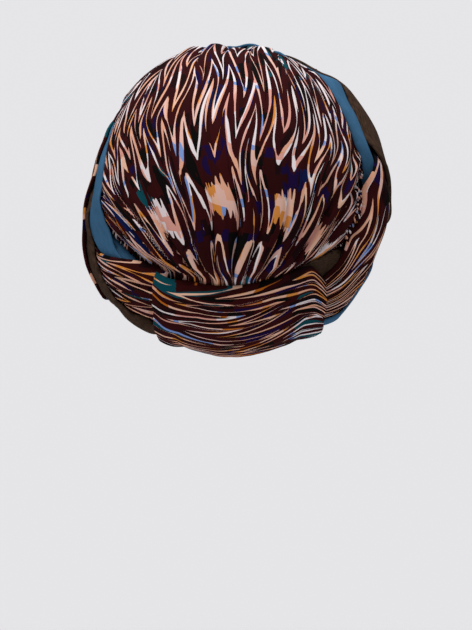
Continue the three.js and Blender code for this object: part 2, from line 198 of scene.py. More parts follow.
# %% the forms that hold the cloth
HEAD = {"left": 81, "right": 81, "fore": 99, "back": 99, "top": 98, "under": 171}
DOME = {"left": 110, "right": 99, "fore": 111, "back": 127, "top": 118, "under": 113}
RIM = {"back": 109, "side": 116.5, "fore": 121.5}  # the fall of the rim
DRAW_IN = {"back": 80, "side": 76, "fore": 66}  # the fall at which the cloth leaves the dome
DRAW_POWER = {"back": 3.2, "side": 1.3, "fore": 1.3}
CAP_WALL = 2.2
EASE = 0.8  # slack of the cap at its rim
SCARF_WALL = 2.2
GAP = 0.4  # air between one cloth and the next


def around_ring(turn, stops):
    """A value that passes through the figures for the nape, the sides and the brow."""
    c = np.cos(np.radians(turn))
    swing = (stops["back"] - stops["fore"]) / 2
    bow = (stops["back"] + stops["fore"]) / 2 - stops["side"]
    return stops["side"] + swing * c + bow * c * c


def egg_radius(d, egg):
    """How far from its middle an egg's surface lies along unit vectors."""
    depth = np.where(d[..., 1] < 0, egg["back"], egg["fore"])
    height = np.where(d[..., 2] > 0, egg["top"], egg["under"])
    width = np.where(d[..., 0] < 0, egg["left"], egg["right"])
    return 1 / np.sqrt((d[..., 0] / width) ** 2 + (d[..., 1] / depth) ** 2 + (d[..., 2] / height) ** 2)


print("the dome:", DOME["left"] + DOME["right"], "mm wide,", DOME["fore"] + DOME["back"], "mm deep")

# %% [markdown]
# Seen from behind, the wrap has a measured outline. Every piece could have a limit of its own, but one shared
# outline holds them all in, whichever of them is changed.

# %% the outline seen from behind
OUTLINE_ROUNDING = 14  # how often each degree is averaged with its neighbours
OUTLINE = np.array(
    [
        # degrees up from the right, radius, how much of it the cloths on the cap take up
        (0, 116, 9),
        (12, 113.5, 9),
        (25, 118, 9),
        (40, 119, 8),
        (50, 121.5, 7),
        (59, 116, 5),
        (69, 119.5, 5),
        (85, 119.3, 5),
        (100, 119.5, 2.5),
        (112, 122, 0),
        (121, 123, 0),
        (130, 120.5, 0.5),
        (140, 111, 2),
        (150, 111, 6),
        (163, 109.5, 10),
        (174, 108.5, 12),
        (187, 113.5, 12),
        (199, 119.5, 9),
        (209, 117, 9),
        (220, 119.5, 9),
        (230, 121.5, 9),
        (241, 126.5, 9),
        (254, 129.5, 9),
        (270, 128, 9),
        (285, 124, 9),
        (298, 120, 9),
        (310, 114, 9),
        (325, 112, 9),
        (340, 111, 9),
        (350, 114, 9),
        (360, 116, 9),
    ]
)


def smooth_outline():
    """The outline's radius and the cloths' share for each whole degree, with their corners rounded."""
    degrees = np.arange(360)
    columns = np.stack([np.interp(degrees, OUTLINE[:, 0], OUTLINE[:, k]) for k in (1, 2)], 1)
    for _ in range(OUTLINE_ROUNDING):
        columns = (np.roll(columns, 1, 0) + columns + np.roll(columns, -1, 0)) / 3
    return np.concatenate([columns, columns[:1]])


OUTLINE_ROUND = smooth_outline()


def outline_limit(d, on_cap=0):
    """How far out a cloth may reach; on_cap is 1 for the cap, which leaves room for the cloths on it."""
    angle = np.degrees(np.arctan2(d[..., 2], d[..., 0])) % 360
    radius, room = (np.interp(angle, np.arange(361), OUTLINE_ROUND[:, k]) for k in (0, 1))
    return (radius - on_cap * room) / np.hypot(d[..., 0], d[..., 2])


print("outline:", OUTLINE_ROUND[:, 0].min().round(1), "to", OUTLINE_ROUND[:, 0].max().round(1), "mm")

# %% [markdown]
# The cap is a flat piece of cloth, gathered into a short line on top of the head and tucked again at the
# nape. So the cloth has its own coordinates: over runs from the gather to the tuck, and side runs across it
# from -1 to 1. Where its reach is short, the same width of cloth has to go into less room.

# %% the cap's cloth
SWEEP = {"gather": -8, "tuck": 120, "ends": 20, "middle": 62}  # degrees
CAP_WIDTH = 232  # mm of cloth across the cap
MM_PER_DEGREE = 2.04  # mm of cloth along the cap for each degree of over
CLOTH_BOW = 40  # mm by which the cloth's weft lags at the cap's sides


def cap_cloth(d):
    """Over and side of unit vectors, and the share of the cloth's width that shows there."""
    over = np.degrees(np.arctan2(-d[..., 1], d[..., 2]))
    along = np.clip((over - SWEEP["gather"]) / (SWEEP["tuck"] - SWEEP["gather"]), 0, 1)
    reach = mix(SWEEP["ends"], SWEEP["middle"], np.sin(np.pi * along))
    side = np.degrees(np.arcsin(np.clip(d[..., 0], -1, 1))) / reach
    return over, side, reach / SWEEP["middle"]


def wobble(x, y, seed):
    """A smooth, repeatable ripple between about -1 and 1, made of a few leaning waves."""
    rng = np.random.default_rng(seed)
    total = 0
    for k in range(5):
        fx, fy = rng.normal(0, 1, 2)
        total = total + np.sin(fx * x + fy * y + rng.uniform(0, 2 * np.pi)) / (1 + 0.4 * k)
    return total / 2.4


print("cloth from gather to tuck:", round((SWEEP["tuck"] - SWEEP["gather"]) * MM_PER_DEGREE), "mm")

# %% [markdown]
# Gathered cloth stands up in pleats, and each pleat hides most of its cloth in the valleys. A table gives the
# valleys, and a rule raises one ridge between each two. The print is laid with the same rule, which is why
# its stripes run into the valleys and come out again. The loose folds between are soft bumps along the cloth.

# %% pleats and loose folds
TOP_VALLEYS = np.array(
    [-1.9, -1.5, -1.16, -0.88, -0.62, -0.27, -0.08, 0.13, 0.36, 0.64, 0.85, 1.06, 1.28, 1.6, 2.0]
)
TOP_RISES = np.array([2.6, 5.0, 7.0, 7.2, 8.6, 9.4, 3.6, 10.8, 5.6, 8.4, 5.5, 4.6, 3.6, 2.6])
NAPE_VALLEYS = np.array(
    [-2.0, -1.45, -1.12, -0.9, -0.66, -0.42, -0.22, -0.02, 0.16, 0.36, 0.55, 0.76, 0.94, 1.15, 1.5, 2.0]
)
NAPE_RISES = np.array([2.0, 3.0, 4.0, 4.6, 4.4, 5.0, 4.4, 4.8, 5.0, 4.6, 5.2, 5.0, 5.6, 4.4, 3.0])
TOP_GATHER = {"sunk": 4.2, "power": 0.75, "height": 1.9}  # how pleats grow where the cloth has less room
NAPE_TUCK = {"sunk": 3.4, "power": 0.8, "height": 2.2}
SOFT_FOLDS = [
    # side, width, rise, from, peak, to: ridges of the loose cloth between gather and tuck
    (-0.97, 0.07, 2.4, 40, 88, 122),
    (-0.74, 0.09, 1.6, 62, 98, 124),
    (-0.48, 0.1, 1.4, 76, 104, 124),
    (0.34, 0.09, 1.8, 72, 102, 124),
    (0.58, 0.06, 4.0, 40, 84, 124),
    (0.73, 0.05, 5.2, 24, 70, 118),
    (0.87, 0.045, 5.0, 30, 66, 110),
    (0.99, 0.05, 4.2, 46, 86, 120),
    (1.1, 0.07, -7, 30, 88, 126),
]


def pleats(side, valleys, rises, shown):
    """Height of each pleat's ridge, and where its cloth lies in the flat piece, as side counts it."""
    k = np.clip(np.searchsorted(valleys, side, side="right") - 1, 0, len(valleys) - 2)
    low, high = valleys[k], valleys[k + 1]
    x = np.clip(2 * (side - low) / (high - low) - 1, -1, 1)
    ridge = 1 - np.abs(x) ** 3
    hidden = np.sign(x) * np.abs(x) ** 8
    cloth = low + (high - low) * (0.5 + 0.5 * (shown * x + (1 - shown) * hidden))
    return rises[k] * ridge, cloth


def gathered(ridge, slack, gather):
    return (ridge - gather["sunk"]) * slack ** gather["power"] * gather["height"]


print(len(TOP_RISES), "pleats on top,", len(NAPE_RISES), "at the nape and", len(SOFT_FOLDS), "loose folds")

# %% [markdown]
# The cap's surface adds all of this up: the dome, the pleats of both ends, the loose folds and a light
# unevenness. Under the scarves it leaves the dome and draws in towards the rim.

# %% the cap's surface
def cap_surface(turn, fall):
    """Points on the cap's outside and the place of its cloth, in millimetres, for grids of ring angles."""
    d = direction(turn, fall)
    turn, fall = ring_angles(d)
    over, side, shown = cap_cloth(d)
    at_top = 1 - smooth(over, 34, 60)
    sway = 0.05 * wobble(over / 16, side * 1.5, 3) * smooth(over, 0, 30)
    top_ridge, top_side = pleats(side + 0.5 * sway, TOP_VALLEYS, TOP_RISES, shown)
    nape_ridge, nape_side = pleats(side + sway, NAPE_VALLEYS, NAPE_RISES, shown)
    slack = np.clip(1 - shown, 0, 1)
    top_rise = gathered(top_ridge, slack, TOP_GATHER) * smooth(over, -70, -20)
    rise = top_rise * at_top + gathered(nape_ridge, slack, NAPE_TUCK) * (1 - at_top)
    for place, width, height, start, peak, end in SOFT_FOLDS:
        along = smooth(over, start, peak) * (1 - smooth(over, peak, end))
        wander = place + (0.035 + 0.035 * smooth(place, 0.4, 0.7)) * wobble(over / 12, place * 9, 11)
        rise = rise + height * along * np.exp(-(((side - wander) / width) ** 2))
    loose = 0.35 + 1.3 * smooth(side, 0.55, 0.9) + 0.5 * smooth(-side, 0.6, 1.0)
    rise = rise + loose * 0.8 * wobble(side * 9, over / 17, 5) * smooth(over, 0, 25)
    leaves = around_ring(turn, DRAW_IN)
    share = np.clip((fall - leaves) / (around_ring(turn, RIM) - leaves), 0, 1)
    drawn = 1 - (1 - share) ** around_ring(turn, DRAW_POWER)
    room = outline_limit(d, on_cap=1) - 0.6 * np.clip(rise, 0, 5)
    full = np.minimum(egg_radius(d, DOME), room) + rise * (1 - drawn)
    radius = mix(full, egg_radius(d, HEAD) + CAP_WALL + EASE, drawn)
    place = mix(nape_side, top_side, at_top)
    drift = 2.4 * wobble(side * 3.2, over / 24, 7) * (0.3 + 1.9 * smooth(side, 0.5, 0.95))
    u = place * CAP_WIDTH / 2 + drift
    v = over * MM_PER_DEGREE - CLOTH_BOW * np.clip(side, -1.1, 1.1) ** 2
    return d * radius[..., None], u, v


print("the ring's pole meets the cap at", cap_surface(np.zeros(1), np.zeros(1))[0].round(1), "mm")

# %% [markdown]
# A mesh is made from a grid of points and a matching grid of cloth places, kept as a UV map in metres. The
# print reads that map, so it bends with every fold. The faces are smooth-shaded quads.

# %% meshes from grids
def mesh_piece(name, points, faces, cloth):
    """A mesh object in metres from points in mm, with the cloth's own places as a UV map named Cloth."""
    mesh = bpy.data.meshes.new(name)
    mesh.from_pydata((points * MM).tolist(), [], faces)
    layer = mesh.uv_layers.new(name="Cloth")
    corners = np.empty(len(mesh.loops), dtype=np.int64)
    mesh.loops.foreach_get("vertex_index", corners)
    layer.uv.foreach_set("vector", (cloth[corners] * MM).astype(np.float32).ravel())
    mesh.polygons.foreach_set("use_smooth", np.ones(len(mesh.polygons), dtype=bool))
    mesh.update()
    piece = bpy.data.objects.new(name, mesh)
    bpy.context.collection.objects.link(piece)
    return piece


def grid_faces(rows, columns, start=0, closed_rows=False, closed_columns=False, flip=False):
    """Quads over a grid of vertices that is numbered row by row from start."""
    i = np.arange(rows if closed_rows else rows - 1)[:, None]
    j = np.arange(columns if closed_columns else columns - 1)[None, :]
    a = start + i * columns + j
    b = start + (i + 1) % rows * columns + j
    c = start + (i + 1) % rows * columns + (j + 1) % columns
    e = start + i * columns + (j + 1) % columns
    quads = np.stack([a, b, c, e] if not flip else [a, e, c, b], -1)
    return quads.reshape(-1, 4).tolist()


# %% [markdown]
# The crown is one hollow shell. Its outside has a fine grid that crowds at the gather and the tuck, and its
# inside, which is only seen from below, has a coarse one. The two meet in a rounded hem at the rim.

# %% the crown
CROWN_GRID = {"round": 400, "falls": 150, "crowding": 0.3, "hem": 1.5, "inside": 4, "pole": 120}


def crown_angles(columns, rows):
    """Ring angles of the grid, whose columns crowd at the nape and at the brow."""
    even = np.arange(columns) / columns * 2 * np.pi
    turn = np.degrees(even - CROWN_GRID["crowding"] * np.sin(2 * even))[:, None]
    rim = around_ring(turn, RIM) - CROWN_GRID["hem"]
    return turn, rim * (np.arange(1, rows + 1) / rows)[None, :]


def make_crown():
    n, m, step = CROWN_GRID["round"], CROWN_GRID["falls"], CROWN_GRID["inside"]
    turn, fall = crown_angles(n, m)
    outer, u, v = cap_surface(np.broadcast_to(turn, fall.shape), fall)
    inner = outer[::step, step - 1 :: step]
    inner = inner * (1 - CAP_WALL / np.linalg.norm(inner, axis=-1, keepdims=True))
    rows, columns = inner.shape[:2]
    top, top_u, top_v = cap_surface(np.zeros(1), np.zeros(1))
    under_top = top * (1 - CAP_WALL / CROWN_GRID["pole"])
    points = np.concatenate([outer.reshape(-1, 3), inner.reshape(-1, 3), top, under_top])
    cloth = np.stack([u, v], -1)
    inside_cloth = cloth[::step, step - 1 :: step]
    pole_cloth = np.array([[top_u[0], top_v[0]]] * 2)
    cloth = np.concatenate([cloth.reshape(-1, 2), inside_cloth.reshape(-1, 2), pole_cloth])
    faces = grid_faces(n, m, closed_rows=True)
    faces += grid_faces(rows, columns, start=n * m, closed_rows=True, flip=True)
    top_index, under_index = len(points) - 2, len(points) - 1
    faces += [(top_index, (i + 1) % n * m, i * m) for i in range(n)]
    for i in range(rows):
        here = n * m + i * columns
        there = n * m + (i + 1) % rows * columns
        faces.append((under_index, here, there))
        low, low_next = here + columns - 1, there + columns - 1
        rim = [((i * step + k) % n) * m + m - 1 for k in range(step + 1)]
        faces.append((rim[0], rim[1], low))
        faces += [(rim[k], rim[k + 1], low_next if k > 1 else low) for k in range(1, step)]
        faces.append((low, rim[2], low_next))
    return mesh_piece("crown_cloth", points, faces, cloth)


crown = make_crown()
print("crown:", len(crown.data.polygons), "faces")

# %% [markdown]
# Each scarf is a strip that is laid over whatever is already there. A cloth simulation could drape it, but
# its folds would fall where they like, and these have to match. So at every point the strip feels how high
# the cloths below it lie, with rays cast inwards from outside the wrap.

# %% feeling what lies below
FEEL_FROM = 0.3  # metres from the middle of the hollow
laid = []  # the vertices and faces of every cloth that is already in place


def lay(piece):
    """Adds a finished piece to what the next scarves lie on."""
    mesh = piece.data
    laid.append(([v.co.copy() for v in mesh.vertices], [tuple(f.vertices) for f in mesh.polygons]))


def everything_laid():
    """One search tree over all the cloths in place."""
    points, faces = [], []
    for some_points, some_faces in laid:
        faces += [tuple(k + len(points) for k in face) for face in some_faces]
        points += some_points
    return BVHTree.FromPolygons(points, faces)


def felt_radius(tree, d):
    """How far from the middle of the head the cloths below reach, in mm, for a grid of directions."""
    found = np.zeros(d.shape[:-1])
    for index in np.ndindex(found.shape):
        ray = Vector(d[index])
        hit = tree.ray_cast(ray * FEEL_FROM, -ray)[0]
        found[index] = hit.length / MM if hit else 0
    for columns in (range(1, found.shape[1]), range(found.shape[1] - 2, -1, -1)):
        for j in columns:
            before = found[:, j - 1] if columns.step > 0 else found[:, j + 1]
            found[:, j] = np.where(found[:, j] > 0, found[:, j], before)
    return found


lay(crown)
print("laid so far:", len(laid))

# %% [markdown]
# Cloth can't follow a sharp step. The first helpers bridge the steps that the rays felt, with a bend no
# tighter than the cloth makes. The last ones run a smooth curve through the rows of a strip's table.

# %% bridges and smooth curves
BRIDGE_REACH = 3.2  # how far a bridge is sought; with this a step of 5 mm is still bridged whole


def shifted(grid, steps, axis):
    """The grid moved by some steps, with its edge values repeated."""
    places = np.clip(np.arange(grid.shape[axis]) - steps, 0, grid.shape[axis] - 1)
    return np.take(grid, places, axis)


def bridged(grid, spacing, bend):
    """The lowest surface over a grid that bends down no tighter than bend, as cloth does at a step."""
    for axis in (0, 1):
        resting = grid
        steps = int(BRIDGE_REACH * math.sqrt(bend) / spacing[axis]) + 1
        for k in range(1, steps):
            sag = (k * spacing[axis]) ** 2 / (2 * bend)
            ahead, behind = shifted(resting, k, axis), shifted(resting, -k, axis)
            grid = np.maximum(grid, np.maximum(ahead, behind) - sag)
    return grid


def blurred(grid, passes):
    for _ in range(passes):
        near = [shifted(grid, k, axis) for k in (-1, 1) for axis in (0, 1)]
        grid = (2 * grid + sum(near)) / 6
    return grid


def spline(rows, places):
    """Catmull-Rom values through rows at fractional places."""
    rows = np.asarray(rows, dtype=float)
    padded = np.concatenate([[2 * rows[0] - rows[1]], rows, [2 * rows[-1] - rows[-2]]])
    k = np.clip(places.astype(int), 0, len(rows) - 2)
    t = (places - k).reshape(-1, *[1] * (rows.ndim - 1))
    p0, p1, p2, p3 = padded[k], padded[k + 1], padded[k + 2], padded[k + 3]
    square, cube = 2 * p0 - 5 * p1 + 4 * p2 - p3, 3 * p1 - p0 - 3 * p2 + p3
    return 0.5 * (2 * p1 + (p2 - p0) * t + square * t**2 + cube * t**3)


def even_places(rows, steps):
    """Places along the rows that are evenly spaced on the strip's middle line."""
    rough = np.linspace(0, len(rows) - 1, 400)
    middle = unit(spline((rows[:, 0] + rows[:, 1]) / 2, rough))
    length = np.concatenate([[0], np.cumsum(np.linalg.norm(np.diff(middle, axis=0), axis=-1))])
    return np.interp(np.linspace(0, length[-1], steps), length, rough)


# %% [markdown]
# A strip of jersey that is pulled round the head lies in pleats. Each pleat rises slowly and drops at its
# lip, where it lies over the next one, and the cloth that the lip hides is missing from the print.

# %% pleats across a strip
PLEAT_STEPS = np.array([0, 0.1, 0.22, 0.36, 0.5, 0.63, 0.74, 0.83, 0.9, 0.945, 0.975])


def pleat_columns(count, depth, seed):
    """For each point across: its share of the width, its height in its pleat, and its cloth's place."""
    rng = np.random.default_rng(seed)
    widths = rng.uniform(0.75, 1.3, count)
    edges = np.concatenate([[0], np.cumsum(widths / widths.sum())])
    profile = (smooth(PLEAT_STEPS, -0.25, 0.8) * 1.1 - 0.35) * (1 - smooth(PLEAT_STEPS, 0.9, 1.0)) * depth
    share, rise, cloth = [], [], []
    for low, high in zip(edges, edges[1:]):
        share += list(low + PLEAT_STEPS * (high - low))
        rise += list(profile)
        cloth += [rng.uniform(0, 140)] * len(PLEAT_STEPS)
    return np.array(share + [1.0]), np.array(rise + [0.0]), np.array(cloth + [cloth[-1]])


print(len(PLEAT_STEPS), "points across each pleat")

# %% [markdown]
# A strip's section is a closed loop: outside, a rounded hem, inside, and a rounded hem again. A hollow shell
# with a Solidify modifier would do as well, but its hems would be square. Both ends of the strip are rounded
# too, and then closed.

# %% hems and ends of a strip
HEM_STEPS = 3
END_TURNS = (35, 65, 85)  # degrees round the bend of a folded end


def with_hems(outside, inside, cloth):
    """Joins the two sides of a strip into closed loops, with the cloth's places to match."""
    middle = (outside + inside) / 2
    bulge_left = unit(middle[:, 0] - middle[:, 1]) * SCARF_WALL / 2
    bulge_right = unit(middle[:, -1] - middle[:, -2]) * SCARF_WALL / 2
    turns = np.pi * np.arange(1, HEM_STEPS + 1) / (HEM_STEPS + 1)
    hems, hem_cloth = [], []
    for edge, bulge, order in ((-1, bulge_right, 1), (0, bulge_left, -1)):
        half = (outside[:, edge] - inside[:, edge]) / 2
        hem = [middle[:, edge] + half * math.cos(a) + bulge * math.sin(a) for a in turns[::order]]
        hems.append(np.stack(hem, 1))
        hem_cloth.append(np.repeat(cloth[:, edge : edge + 1 or None], HEM_STEPS, 1))
    section = np.concatenate([outside, hems[0], inside[:, ::-1], hems[1]], 1)
    return section, np.concatenate([cloth, hem_cloth[0], cloth[:, ::-1], hem_cloth[1]], 1)


def rounded_ends(section, cloth):
    """Adds stations at both ends that shrink the section towards its middle, as a folded end does."""
    n = section.shape[1]
    across = (n - 2 * HEM_STEPS) // 2
    partner = np.arange(n)
    partner[:across] = n - HEM_STEPS - 1 - np.arange(across)
    partner[n - HEM_STEPS - across : n - HEM_STEPS] = np.arange(across)[::-1]
    bends = []
    for end, step in ((0, 1), (-1, -1)):
        station = section[end]
        middle = (station + station[partner]) / 2
        outward = unit((station - section[end + step]).mean(0))
        bend = []
        for turn in np.radians(END_TURNS)[::-step]:
            drawn_in = (station - middle) * math.cos(turn)
            bend.append(middle + drawn_in + outward * math.sin(turn) * SCARF_WALL / 2)
        bends.append(np.stack(bend))
    end_cloth = [np.repeat(cloth[k : k + 1 or None], len(END_TURNS), 0) for k in (0, -1)]
    return np.concatenate([bends[0], section, bends[1]]), np.concatenate([end_cloth[0], cloth, end_cloth[1]])


def close_loft(name, section, cloth):
    """Skins a stack of closed sections and caps both ends with strips of quads."""
    rows, columns = section.shape[:2]
    faces = grid_faces(rows, columns, closed_columns=True)
    across = (columns - 2 * HEM_STEPS) // 2
    for base, order in ((0, 1), ((rows - 1) * columns, -1)):
        outside = list(range(base, base + across))
        right = list(range(base + across, base + across + HEM_STEPS))
        inside = list(range(base + across + HEM_STEPS, base + columns - HEM_STEPS))[::-1]
        left = list(range(base + columns - HEM_STEPS, base + columns))
        for j in range(across - 1):
            faces.append((outside[j], outside[j + 1], inside[j + 1], inside[j])[::order])
        faces.append(([inside[0]] + left + [outside[0]])[::order])
        faces.append(([outside[-1]] + right + [inside[-1]])[::order])
    return facing_out(mesh_piece(name, section.reshape(-1, 3), faces, cloth.reshape(-1, 2)))


def facing_out(piece):
    """Turns every face outwards, whichever way the strip ran."""
    shape = bmesh.new()
    shape.from_mesh(piece.data)
    bmesh.ops.recalc_face_normals(shape, faces=shape.faces)
    if shape.calc_volume(signed=True) < 0:
        bmesh.ops.reverse_faces(shape, faces=shape.faces)
    shape.to_mesh(piece.data)
    shape.free()
    return piece


print("a hem has", HEM_STEPS, "points and an end", len(END_TURNS), "stations")

# %% [markdown]
# A strip's table has a row for each station along it: the turn and the fall of its crown-side edge, those of
# its rim-side edge, and how far out its crest stands. A smooth curve runs through each column. The strip
# arches from one edge to the other, up to its crest, and never dips under what it felt.

# %% laying a strip
ARCH = {"square": 2.6, "full": 1.7}
STRAY = {"pleats": 0.012, "surface": 0.3}  # how much the pleats wander, and how uneven the cloth is in mm


def lay_strip(
    name, rows, steps, count=1, depth=0.0, seed=1, buried=0.0, start=0, full=1.15, pull=1.0, bend=8
):
    """Lays a strip of cloth with steps stations over everything so far, and makes its mesh.

    count and depth are the number and the height in mm of its pleats. buried keeps its crest that many
    mm inside the outline, as one number or as several from its first station to its last. start is the
    mm of cloth at which its print begins, full how much cloth is gathered across it, and pull the mm of
    print that each mm of it shows. bend is the tightest radius in mm with which it comes down from a
    step below it.
    """
    rows = np.array(rows, dtype=float)
    ends = np.stack([direction(rows[:, 0], rows[:, 1]), direction(rows[:, 2], rows[:, 3])], 1)
    places = even_places(ends, steps)
    crown_edge, rim_edge = unit(spline(ends[:, 0], places)), unit(spline(ends[:, 1], places))
    crest = spline(rows[:, 4], places)[:, None]
    share, rise, jump = pleat_columns(count, depth, seed)
    station = np.arange(steps)[:, None]
    wander = STRAY["pleats"] * wobble(station / 14, share[None, :] * 3, seed + 40)
    across = np.clip(share[None, :] + wander * np.sin(np.pi * share)[None, :] * 2, 0, 1)
    d = unit(mix(crown_edge[:, None, :], rim_edge[:, None, :], across[..., None]))

    felt = felt_radius(everything_laid(), d)
    spacing = [np.linalg.norm(np.diff(d, axis=axis), axis=-1).mean() * felt.mean() for axis in (0, 1)]
    near = np.maximum.reduce([shifted(felt, k, axis) for k in (-1, 0, 1) for axis in (0, 1)])
    floor = np.maximum(blurred(bridged(near, spacing, bend), 4), near) + GAP

    arch = (1 - np.abs(2 * share - 1) ** ARCH["square"]) ** (1 / ARCH["full"])
    level = mix(floor[:, :1], floor[:, -1:], share[None, :]) + SCARF_WALL
    depths = np.atleast_1d(buried)
    inset = np.interp(np.linspace(0, 1, steps), np.linspace(0, 1, len(depths)), depths)[:, None]
    limit = outline_limit(d) - depth / 2 - inset
    lifted = np.minimum(mix(level, np.maximum(np.minimum(crest, limit), level), arch), limit)
    ripple = STRAY["surface"] * wobble(station / 9, share[None, :] * 7, seed + 80)
    top = np.maximum(lifted + (rise + ripple) * arch, floor + SCARF_WALL)
    under = np.maximum(top - SCARF_WALL, floor)
    outside, inside = d * top[..., None], d * under[..., None]

    middle_line = ((outside + inside) / 2)[:, len(share) // 2]
    length = np.concatenate([[0], np.cumsum(np.linalg.norm(np.diff(middle_line, axis=0), axis=-1))])
    width = np.linalg.norm(outside[:, 0] - outside[:, -1], axis=-1).mean() * full
    along = start + pull * length[:, None]
    cloth = np.stack(np.broadcast_arrays(jump[None, :] + share[None, :] * width, along), -1)
    piece = close_loft(name, *rounded_ends(*with_hems(outside, inside, cloth)))
    lay(piece)
    print(name, len(piece.data.polygons), "faces")
    return piece


# %% [markdown]
# The deepest cloths in the ring only peep out between larger ones: a short second fold of the blue scarf at
# the left, and an end of the brown scarf at the top of the right seam. Each is a short strip of its own.

# %% the deepest cloths
BLUE_FOLD_LEFT = [
    (36, 93, 38, 98, 107),
    (46, 90, 50, 96.5, 110),
    (56, 87.5, 60, 95.5, 112.5),
    (63, 84, 70, 94.5, 113.5),
    (67, 79, 77, 91, 112.5),
    (71, 75, 79, 83, 110),
]
BROWN_UNDERLAY_RIGHT = [
    (-22, 84.5, -22, 96, 106.5),
    (-30, 82.6, -30, 97, 109.5),
    (-38, 83.6, -38, 97, 110.5),
    (-44, 85.6, -44, 96, 110.5),
    (-49, 88, -49, 95, 109),
]
blue_fold_left = lay_strip("blue_fold_left_cloth", BLUE_FOLD_LEFT, 40, seed=2)
brown_underlay_right = lay_strip("brown_underlay_right_cloth", BROWN_UNDERLAY_RIGHT, 36, seed=3)

# %% [markdown]
# The blue scarf comes next. It starts under the nape panel on the left, crosses the head just in front of the
# gathers, where it reaches the outline, and comes down on the right, where its end is tucked in.

# %% the blue scarf
BLUE_WRAP = [
    (35, 91.5, 37, 97, 109),
    (43.5, 92, 46, 97, 111),
    (49.5, 89.2, 54, 94, 112.5),
    (54, 85.8, 61.5, 90.5, 113.5),
    (57.5, 81.3, 67, 87, 114),
    (61, 77.8, 70.5, 82, 114),
    (64, 74.8, 73, 78, 113.5),
    (71, 69.5, 79, 73.5, 113),
    (80.5, 64.3, 87, 69.5, 112),
    (97, 60.5, 101, 66.5, 112),
    (120, 57.5, 121, 64, 115),
    (150, 53, 150, 61, 121),
    (180, 51, 180, 61, 125.5),
    (210, 46, 210, 56, 125.5),
    (230, 41, 229, 50, 123),
    (246, 40, 244, 49, 119),
    (258, 43, 255, 50, 115),
    (268, 47.6, 264, 52.5, 114.5),
    (274.5, 52.2, 271.5, 55.7, 114),
    (279.5, 57.2, 277, 60.2, 114),
    (282, 63.6, 280, 67, 113.5),
    (284.5, 71, 282.5, 75, 112.5),
    (287, 78, 285, 81, 111.5),
]
BLUE_BURIED = (5, 5, 5, 3.5, 0.5, 0, 0, 2.5, 5, 5)
blue_wrap = lay_strip("blue_wrap_cloth", BLUE_WRAP, 200, depth=0.4, seed=4, buried=BLUE_BURIED)

# %% [markdown]
# The printed cloth leaves each seam as a fan of pleats. On the left it slips under the brown scarf, and on
# the right it is the wide strip that climbs the side of the head and goes under the brown. A narrow edge of
# blue shows under it, along the rim.

# %% printed strips of both sides
PRINT_FAN_LEFT = [
    (26, 87, 25, 110, 118),
    (36, 87, 35, 114, 119),
    (45, 88.5, 45, 116, 119),
    (54, 91, 55, 115, 118.5),
    (62, 92.5, 64, 111, 117),
    (70, 92, 73, 105, 113),
]
PRINT_WRAP_RIGHT = [
    (130, 84, 130, 121, 114),
    (155, 76, 155, 122, 117),
    (180, 71, 180, 122.5, 119),
    (210, 67, 210, 122, 119),
    (235, 64, 235, 120.5, 118),
    (255, 63, 255, 118.5, 118),
    (270, 63, 270, 117.5, 118),
    (282, 65, 280, 117, 118),
    (290.5, 71, 290, 116.5, 118.5),
    (297, 77, 299, 116, 119),
    (304, 81, 307, 115.5, 120),
    (312, 83.7, 315, 115, 121),
    (320, 89.6, 322, 113, 121),
    (328, 92, 329, 111, 120),
    (335, 91.5, 335, 109.5, 118),
]
BLUE_EDGE_RIGHT = [
    (248, 106, 247, 113, 115),
    (262, 104, 262, 111, 118),
    (278, 102.5, 278, 109.5, 120.5),
    (294, 103, 295, 110, 122),
    (308, 105.5, 310, 112, 123),
    (320, 108.5, 322, 113.5, 123),
    (333, 109, 333, 112.5, 121),
]
FAN = {"count": 5, "depth": 2.6, "seed": 5, "buried": 3, "start": 225}
WIDE_STRIP = {"count": 7, "depth": 2.8, "seed": 6, "buried": 2.5, "pull": 0.7}
print_fan_left = lay_strip("print_fan_left_cloth", PRINT_FAN_LEFT, 60, **FAN)
print_wrap_right = lay_strip("print_wrap_right_cloth", PRINT_WRAP_RIGHT, 180, **WIDE_STRIP)
blue_edge_right = lay_strip("blue_edge_right_cloth", BLUE_EDGE_RIGHT, 90, seed=7)

# %% [markdown]
# The brown scarf is the outermost one at the upper right and dives under the print towards the rim. On the
# left it lies in the valley between the fan and the outer roll of print, which wraps over all of it.

# %% brown cloth and the outer print
BROWN_WRAP_LEFT = [
    (26, 109, 26, 114, 121),
    (34, 112.5, 36, 120, 122),
    (43, 111, 46, 119.5, 122),
    (50, 106, 56, 117, 121),
    (56, 99.5, 63, 107.5, 120),
    (61, 93.5, 69, 99, 118),
    (66, 87.5, 74.5, 91, 115),
    (72, 82, 80, 84.5, 112),
    (79, 76, 87, 78, 110),
]
BROWN_WRAP_RIGHT = [
    (150, 62, 150, 82, 118),
    (170, 62, 170, 85, 121),
    (192, 58, 192, 82, 121.5),
    (210, 53.5, 210, 76, 121),
    (224, 49.5, 226, 72, 120.5),
    (237, 47.5, 238, 75, 120.5),
    (250, 48, 246, 81, 121),
    (262, 51.5, 251, 89, 120.5),
    (272, 57, 253, 97, 120),
    (277, 64, 253, 104, 119.5),
    (278, 71, 251, 110, 119),
    (275, 79, 250, 114, 118),
    (270, 88, 248, 117, 116),
]
PRINT_WRAP_LEFT = [
    (60, 112, 58, 118, 118),
    (64, 102, 67, 118.5, 118.5),
    (69, 95, 77, 119, 118.5),
    (74, 87, 86, 119.5, 118),
    (79, 77, 95, 120, 117.5),
    (86, 67.5, 104, 120.5, 117.5),
    (98, 62, 115, 121.5, 118.5),
    (118, 60.5, 132, 122, 120),
    (142, 61.5, 152, 122.5, 122),
    (164, 63.5, 172, 122, 123.5),
    (184, 64, 194, 117, 124.5),
    (202, 61, 211, 104, 125),
    (216, 57, 223, 90, 125.5),
]
